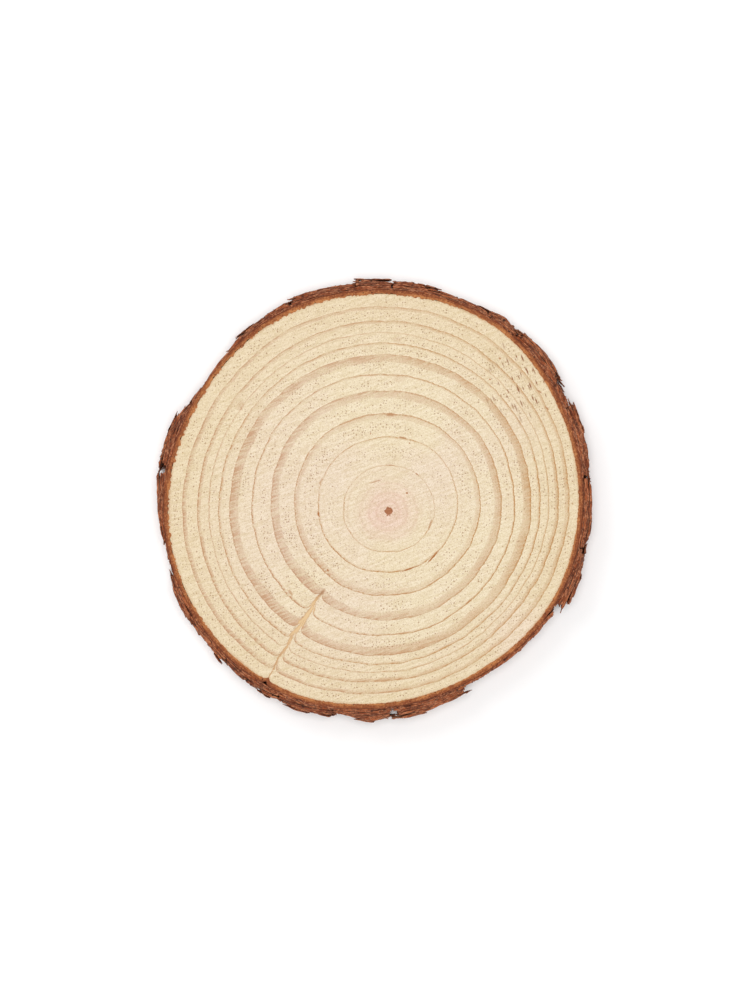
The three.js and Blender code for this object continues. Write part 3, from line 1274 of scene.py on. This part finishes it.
def all_resin_marks(place, fuzz):
    """The resin marks of this slice, gathered into one mask."""
    marked = 0.0
    for degrees, from_pith, half_length, half_width, strength, turn in RESIN_MARKS:
        angle = math.radians(degrees)
        x = PITH_X + from_pith * math.cos(angle)
        y = PITH_Y + from_pith * math.sin(angle)
        marked = use_group(resin_mark, {
            "Vector": place,
            "Fuzz": fuzz,
            "Middle": (x * MM, y * MM, 0.0),
            "Angle": -(angle + math.pi / 2 + math.radians(turn)),
            "Fineness": (1 / (half_length * MM), 1 / (half_width * MM), 0.0),
            "Strength": strength,
            "Others": marked,
        })
    return marked


def paint_scar(colour, place, part, radius, mottle):
    """Paints the scar: a pale ochre seam with dark edges, darkest where it starts."""
    bend = (soft_noise(place, 190.0, 2.0) - 0.5) * 2.3
    side = abs(read(place.id_data, "scar_side") + bend) + (mottle * 0.9 - 0.45)
    along = radius.step(SCAR_START, SCAR_START + 2.5) * radius.step(76.0, 70.0)
    swell = radius.step(37.0, 43.0) * radius.step(72.0, 48.0)
    off_edge = side - (swell * (part * 0.80 + 0.18) + 0.06)
    seam = mix(swell, paint(205, 160, 116), paint(229, 196, 149))
    tip = radius.step(34.5, 36.5) * radius.step(39.0, 37.0) * side.step(0.9, 0.2)
    return coats(
        mix(off_edge.step(0.25, -0.15) * along, colour, seam),
        (abs(off_edge).step(0.38, 0.05) * along * 0.5, (196, 148, 100)),
        (tip * 0.7, (170, 124, 88)),
    )


# %% Sawn pine
# The ring ramps hold numbers from 0 to 1, so widths are stored as a share of this one.
WIDEST_BAND = 5.0

# Three faint rings inside the first year's: millimetres from the pith, and darkness.
HEART_RINGS = [(3.9, 0.48), (6.6, 0.40), (9.8, 0.24)]


def make_sawn_pine():
    material, tree, place = new_material("sawn_pine")
    saw = use_group(saw_marks, {"Vector": place, "Angle": SAW_ANGLE, "Spacing": 0.75})
    broad = soft_noise(place, 28.0, 2.0)
    cloudy = soft_noise(place, 75.0, 3.0)
    mottle = soft_noise(place, 1500.0, 2.0, 0.7)
    grain = soft_noise(place, 3400.0, 1.0, 0.5)
    radius = read(tree, "from_pith")
    own_growth = read(tree, "growth")
    ring_width = read(tree, "ring_width")

    # The ring that a point lies in, and how far, in millimetres, from its outer edge.
    wander = cloudy * 1.5 + soft_noise(place, 200.0, 1.0) * 0.6
    drag = saw * 0.16 + mottle * 0.18 + wander - 1.22
    growth = (own_growth + drag / ring_width).at_least(0.0).at_most(LAST_RING - 0.001)
    ring = growth.floor()
    part = growth - ring
    left = (1.0 - part) * ring_width
    pick = (ring + 0.5) / float(LAST_RING)
    width = ring_lookup(pick, [w / WIDEST_BAND for w in SUMMER_WIDTH]) * WIDEST_BAND
    depth = ring_lookup(pick, SUMMER_DEPTH)
    line_depth = ring_lookup(pick, SUMMER_LINE)
    warmth = ring_lookup(pick, SUMMER_WARMTH)

    # Thin weather lines that run with the rings.
    weather = soft_noise(vector(growth * 14.0, broad * 3.0), 1.0, 2.0)

    # The summer wood: a band that deepens outwards, a thin line where it starts, and a
    # darker one where it stops. The saw's combing shows most on the left.
    rightward = parts_of(place)[0].step(-0.03, 0.07)
    broader = (soft_noise(place, 26.0, 1.0) * 1.2 + 0.4) * read(tree, "side_reach")
    into = left / (width * broader)
    band = into.step(1.2, 0.75) * into.step(2.6, -0.5) * (weather * 1.3 + 0.35)
    start_line = into.step(1.16, 1.0) * into.step(0.84, 0.98)
    uneven = cloudy * 1.3 + 0.32
    summer = (start_line * 0.30 + band) * depth * uneven
    edge = (left / broader).step(0.62, 0.08) * line_depth
    edge = edge * (soft_noise(place, 42.0, 1.0) * 1.6 + 0.15)
    combed = (saw - 0.5) * (rightward * -0.8 + 1.35) + 1.0
    summer = ((summer + edge) * combed).clamped()
    summer = (summer * (read(tree, "side_strength") * 1.1)).clamped()

    # Cream wood in clouds, and the summer wood over it, warmer on the right.
    spring = mix(broad.step(0.35, 0.65), paint(234, 215, 189), paint(236, 220, 187))
    spring = coats(
        spring,
        (cloudy * 0.30, (231, 208, 178)),
        (growth.step(3.0, 10.5) * 0.85, (230, 210, 174)),
        (soft_patch(place, cloudy * (12 * MM), 51, -48, 24, 10) * 0.5, (238, 216, 194)),
    )
    warm = (rightward * 0.75 + warmth).clamped()
    colour = mix(summer, spring, mix(warm, paint(196, 156, 127), paint(186, 133, 72)))

    # The weather lines, the darker wood next to the bark, and the pink heart.
    colour = coats(
        colour,
        (weather.step(0.52, 0.75) * 0.30, (217, 188, 156)),
        (own_growth.step(10.78, 11.0) * 0.2, (205, 166, 122)),
        ((cloudy * 6.0 + radius).step(15.5, 6.5) * 0.75, (232, 201, 181)),
    )
    wavy = mottle * 0.7 + (cloudy * 2.4 + radius)
    for first, strength in HEART_RINGS:
        line = abs(wavy - (first + 1.55)).step(0.7, 0.05) * (saw * strength)
        colour = coats(colour, (line, (206, 160, 130)))
    star = soft_noise(place, 1100.0, 1.0) * 1.5 + radius
    pith = star.step(PITH_RADIUS + 0.95, PITH_RADIUS + 0.6)
    colour = mix(pith, colour, mix(grain, paint(150, 88, 54), paint(188, 126, 88)))

    # Resin canals, thick in the middle of a ring and rare in the summer wood.
    share = cloudy.step(0.3, 0.7) * 0.85
    canals = use_group(pores, {"Vector": place, "Spacing": 0.95, "Size": 0.28, "Share": share})
    fine = use_group(pores, {"Vector": place, "Spacing": 0.56, "Size": 0.17, "Share": 0.45})
    canals = canals * (part.step(0.08, 0.3) * part.step(0.8, 0.55)) * radius.step(12.0, 24.0)
    holes = (canals * 0.80).at_least(fine * 0.42)
    colour = coats(colour, (holes, (150, 94, 54)))

    # Fine mottling all over.
    speckle = (saw * 0.3 + (grain * 1.5 + mottle * 0.6)).step(0.68, 1.70)
    speckle = mix(speckle, (0.88, 0.84, 0.74, 1.0), (1.12, 1.16, 1.26, 1.0))
    colour = mix(1.0, colour, speckle, "MULTIPLY")

    colour = paint_scar(colour, place, part, radius, mottle)

    # The resin marks, and a patch of short dashes on the upper right.
    dash_place = vector_sum("MULTIPLY", turned_about(place, math.radians(-112)), (0.20, 1.0, 1.0))
    feeds = {"Vector": dash_place, "Spacing": 1.05, "Size": 0.34, "Share": 0.40}
    dashes = use_group(pores, feeds) * soft_patch(place, cloudy * (16 * MM), 53, 42, 28, 15)
    marked = all_resin_marks(place, mottle)
    colour = coats(colour, (marked, (174, 108, 50)), (dashes, (144, 84, 44)))

    height = saw * 0.4 + holes * -1.0 + mottle * 0.5
    return finish(material, colour, summer * -0.12 + 0.72, height, 0.06, 0.3)


sawn_pine = make_sawn_pine()
sawn_wood.data.materials.append(sawn_pine)

# %% [markdown]
# ## Bark
#
# Bark has two looks. Where the saw cut it, it is a stack of red-brown lines lying along the
# edge of the stem, orange next to the wood. On its side it is weathered: pinkish grey on the
# skin of each scale, red where a scale has just dropped off, with painted shade darkening its
# cracks. Both looks are in one material, told apart by which way the surface faces, and the
# numbers stored on the sheets say how deep in a sheet a point lies, how close to a broken
# edge, and where a crack is painted with shade.


# %% Inner bark finish
def make_inner_bark_finish():
    material, tree, place = new_material("inner_bark")
    feeds = {"Vector": read(tree, "grain", "Vector"), "Across": 0.60, "Contrast": 0.12}
    lines = use_group(laid_lines, feeds)
    crumbs = soft_noise(place, 1900.0, 3.0, 0.7)
    patches = soft_noise(place, 240.0, 3.0, 0.6)
    across = read(tree, "across")
    near_wood = (patches * 1.6 + (lines * 0.7 + across)).step(2.3, 0.9)
    fringe = (patches * 0.9 + across).step(1.65, 1.95)
    pits = use_group(specks, {"Vector": place, "Spacing": 1.1, "Size": 0.3, "Share": 0.22})
    colour = coats(
        mix(near_wood, paint(146, 78, 42), paint(194, 124, 72)),
        (lines * 0.4, (130, 66, 38)),
        (crumbs.step(0.52, 0.68) * 0.65, (216, 150, 96)),
        (crumbs.step(0.46, 0.33) * 0.75, (110, 52, 26)),
        (patches.step(0.5, 0.8) * 0.35, (120, 60, 36)),
        (fringe * 0.65, (82, 38, 24)),
        (pits * 0.8, (50, 24, 16)),
    )
    return finish(material, colour, crumbs * 0.2 + 0.7, crumbs + pits * -0.8, 0.25, 0.25)


inner_bark.data.materials.append(make_inner_bark_finish())


# %% Outer bark finish
def make_outer_bark_finish():
    material, tree, place = new_material("outer_bark")
    laid = read(tree, "grain", "Vector")
    lines = use_group(laid_lines, {"Vector": laid, "Along": 6.0, "Across": 0.62, "Contrast": 0.06})
    threads = use_group(laid_lines, {"Vector": laid, "Along": 3.0, "Across": 0.85}, "Threads")
    folds = use_group(laid_lines, {"Vector": laid, "Along": 4.2, "Across": 1.15}, "Threads")
    pits = use_group(specks, {"Vector": place, "Spacing": 1.5, "Size": 0.6, "Share": 0.3})
    crumbs = soft_noise(place, 1700.0, 3.0, 0.7)
    patches = soft_noise(place, 190.0, 4.0, 0.6)
    tint = read(tree, "tint")

    # The cut face: red-brown lines, with the pale skin of each sheet as a thin line.
    skin_line = read(tree, "through").step(0.72, 0.95) * patches.step(0.42, 0.6)
    cut = coats(
        mix(tint, paint(146, 71, 36), paint(178, 95, 50)),
        (lines * 0.7, (100, 44, 24)),
        (threads * 0.70, (214, 144, 104)),
        (folds * 0.65, (64, 28, 18)),
        (crumbs.step(0.55, 0.72) * 0.5, (182, 116, 78)),
        (crumbs.step(0.43, 0.30) * 0.7, (74, 32, 20)),
        (skin_line * 0.5, (198, 146, 118)),
        (pits * 0.85, (34, 16, 12)),
    )

    # The side: weathered skin with red and dark patches and fine upright fibres, and painted shade
    # darkening its cracks.
    x, y, z = parts_of(place)
    fibres = soft_noise(vector(x, y, z * 0.2), 1300.0, 3.0, 0.65)
    weather = (patches + (tint * 0.3 - 0.15)).step(0.35, 0.65)
    side = coats(
        mix(weather, paint(132, 70, 42), paint(172, 120, 88)),
        (fibres.step(0.52, 0.36) * 0.65, (72, 36, 26)),
        (crumbs.step(0.55, 0.75) * 0.4, (208, 164, 136)),
        (read(tree, "lip") * 0.45, (150, 78, 44)),
        # Painted shade: the cracks are darkened nearly to black.
        (read(tree, "crack_and_shade") * 0.8, (52, 26, 20)),
    )
    facing = abs(parts_of(node(tree, "ShaderNodeNewGeometry").outputs["Normal"])[2])
    colour = mix(facing.step(0.5, 0.8), side, cut)
    return finish(material, colour, crumbs * 0.2 + 0.68, crumbs + fibres * 0.8, 0.3, 0.3)


outer_bark = make_outer_bark_finish()
for piece in bark_plates:
    piece.data.materials.append(outer_bark)
papery_scales = scatter_scales(outer_bark)

# %% [markdown]
# ## The table
#
# A sheet of pale board, flat for two metres round and swept up beyond that, the way a
# studio backdrop is, so that there is no edge to see behind the slice from any side. The
# sweep is a list of distances and heights, in metres, turned about the middle.

# %% Table
SWEEP = [
    (0.01, 0.0), (1.0, 0.0), (2.0, 0.0), (2.4, 0.05),
    (2.8, 0.2), (3.2, 0.45), (3.6, 0.8), (4.0, 1.2),
]
TABLE_COLUMNS = 64


def make_table():
    turns = np.arange(TABLE_COLUMNS) * TURN / TABLE_COLUMNS
    far, height = np.array(SWEEP).T[:, :, None]
    corners = np.broadcast_arrays(far * np.cos(turns), far * np.sin(turns), height)
    points = np.stack(corners, axis=-1).reshape(-1, 3)
    faces = grid_faces(len(SWEEP), TABLE_COLUMNS, 0, True).tolist()
    faces.append(list(range(TABLE_COLUMNS)))
    mesh = bpy.data.meshes.new("table")
    mesh.from_pydata(points.tolist(), [], faces)
    mesh.shade_smooth()
    return add_object("table", mesh)


table = make_table()
board = bpy.data.materials.new("pale_board")
board.use_nodes = True
board_inputs = board.node_tree.nodes["Principled BSDF"].inputs
board_inputs["Base Color"].default_value = (0.97, 0.97, 0.97, 1.0)
board_inputs["Roughness"].default_value = 0.9
table.data.materials.append(board)
print("table is", 2 * SWEEP[-1][0], "metres across")

# %% [markdown]
# ## Hand the pieces over
#
# Each piece rides on the slice's one body. The pieces together take the place of the plain
# solid.

# %% Hand over
bark_pieces = [(piece, "bark") for piece in (inner_bark, *bark_plates, papery_scales)]
for piece, slot in [(sawn_wood, "wood"), *bark_pieces]:
    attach(piece, "root")
    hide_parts("wood_slice")

print(1 + len(bark_pieces), "pieces handed over")
